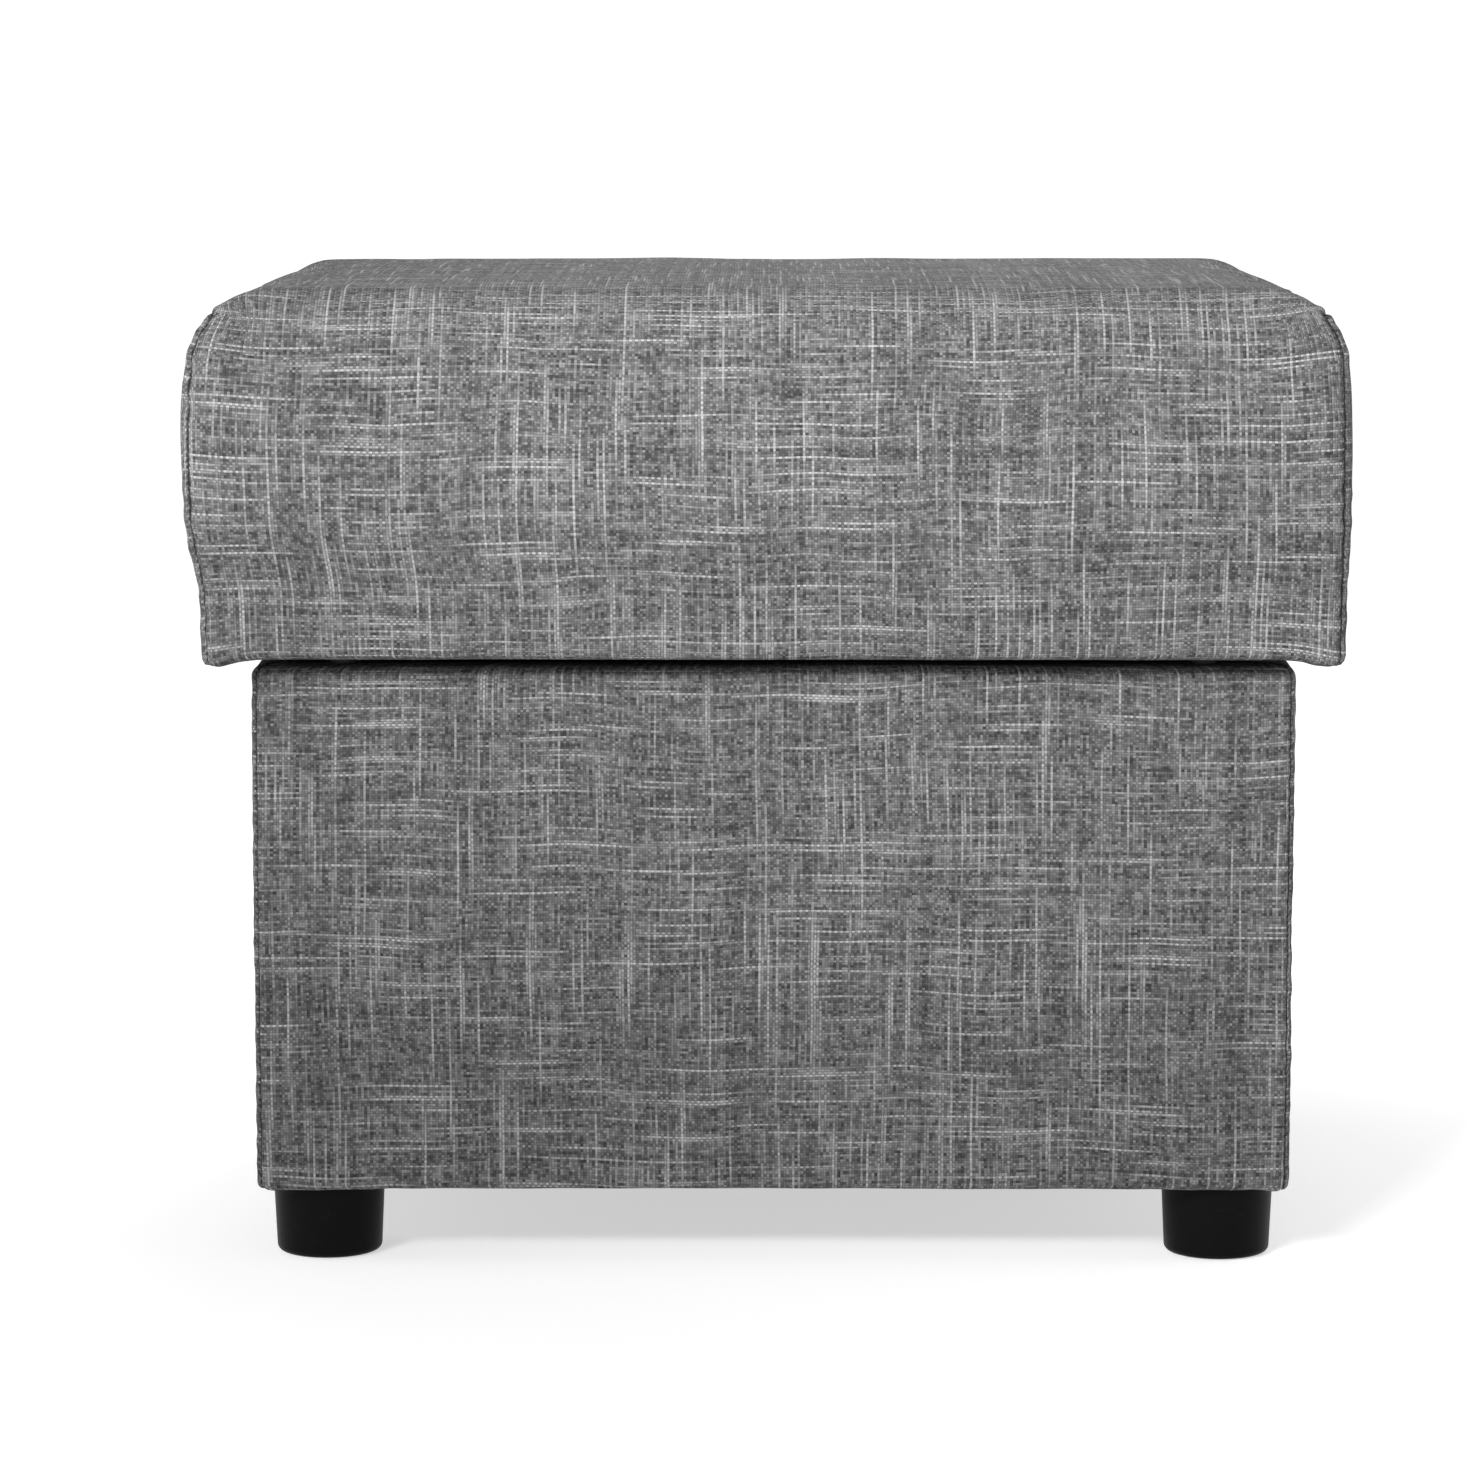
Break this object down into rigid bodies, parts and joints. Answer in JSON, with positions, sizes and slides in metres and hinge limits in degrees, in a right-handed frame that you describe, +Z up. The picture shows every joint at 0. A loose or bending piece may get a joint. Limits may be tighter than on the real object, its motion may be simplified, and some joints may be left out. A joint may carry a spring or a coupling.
{
  "type": "ottoman with storage",
  "caption": "Rectangular fabric ottoman with a thick padded lid that overhangs a box on round feet; the lid is hinged at the back and opens onto the storage inside.",
  "frame": {"origin": "on the floor, under the middle of the closed lid", "axes": "+X to the right side (the long way), -Y to the front, +Y to the hinges, +Z up"},
  "size_m": [0.509, 0.421, 0.431],
  "materials": {
    "upholstery": "mid-grey linen-look plain weave with slubs, matt",
    "wadding": "white polyester wadding",
    "foam": "pale yellow polyurethane foam",
    "lining": "black spunbond non-woven",
    "dust_cover": "thin black spunbond non-woven",
    "chipboard": "raw chipboard",
    "timber": "planed softwood, unfinished",
    "plywood": "plywood, unfinished",
    "foot_plastic": "black moulded polypropylene, satin",
    "bumper_rubber": "soft black rubber",
    "hinge_steel": "zinc-plated steel",
    "screw_steel": "zinc-plated steel",
    "staple_wire": "galvanised wire"
  },
  "bodies": {
    "base": {"base_front_wall": "chipboard", "base_back_wall": "chipboard", "base_left_wall": "chipboard", "base_right_wall": "chipboard", "base_bottom_panel": "chipboard", "corner_batten_front_left": "timber", "corner_batten_front_right": "timber", "corner_batten_back_left": "timber", "corner_batten_back_right": "timber", "base_screws": "screw_steel", "base_padding": "wadding", "base_cover_front_panel": "upholstery", "base_cover_back_panel": "upholstery", "base_cover_left_panel": "upholstery", "base_cover_right_panel": "upholstery", "base_lining": "lining", "base_dust_cover": "dust_cover", "rim_staples": "staple_wire", "lining_staples": "staple_wire", "base_dust_cover_staples": "staple_wire", "foot_front_left": "foot_plastic", "foot_front_right": "foot_plastic", "foot_back_left": "foot_plastic", "foot_back_right": "foot_plastic", "foot_screws": "screw_steel", "hinge_left_base_leaf": "hinge_steel", "hinge_right_base_leaf": "hinge_steel", "hinge_left_pin": "hinge_steel", "hinge_right_pin": "hinge_steel", "base_leaf_screws": "screw_steel"},
    "lid": {"hinge_left_lid_leaf": "hinge_steel", "hinge_right_lid_leaf": "hinge_steel", "lid_leaf_screws": "screw_steel", "lid_front_rail": "timber", "lid_back_rail": "timber", "lid_left_rail": "timber", "lid_right_rail": "timber", "lid_board": "plywood", "lid_board_screws": "screw_steel", "lid_foam": "foam", "lid_wadding": "wadding", "lid_cover": "upholstery", "lid_dust_cover": "dust_cover", "lid_dust_cover_staples": "staple_wire", "lid_bumpers": "bumper_rubber"}
  },
  "joints": [
    {"name": "lid_hinge", "type": "hinge", "parent": "base", "child": "lid", "pos_m": [0, 0.18865, 0.26985], "axis": [-1, 0, 0], "range_deg": [0, 95]}
  ]
}
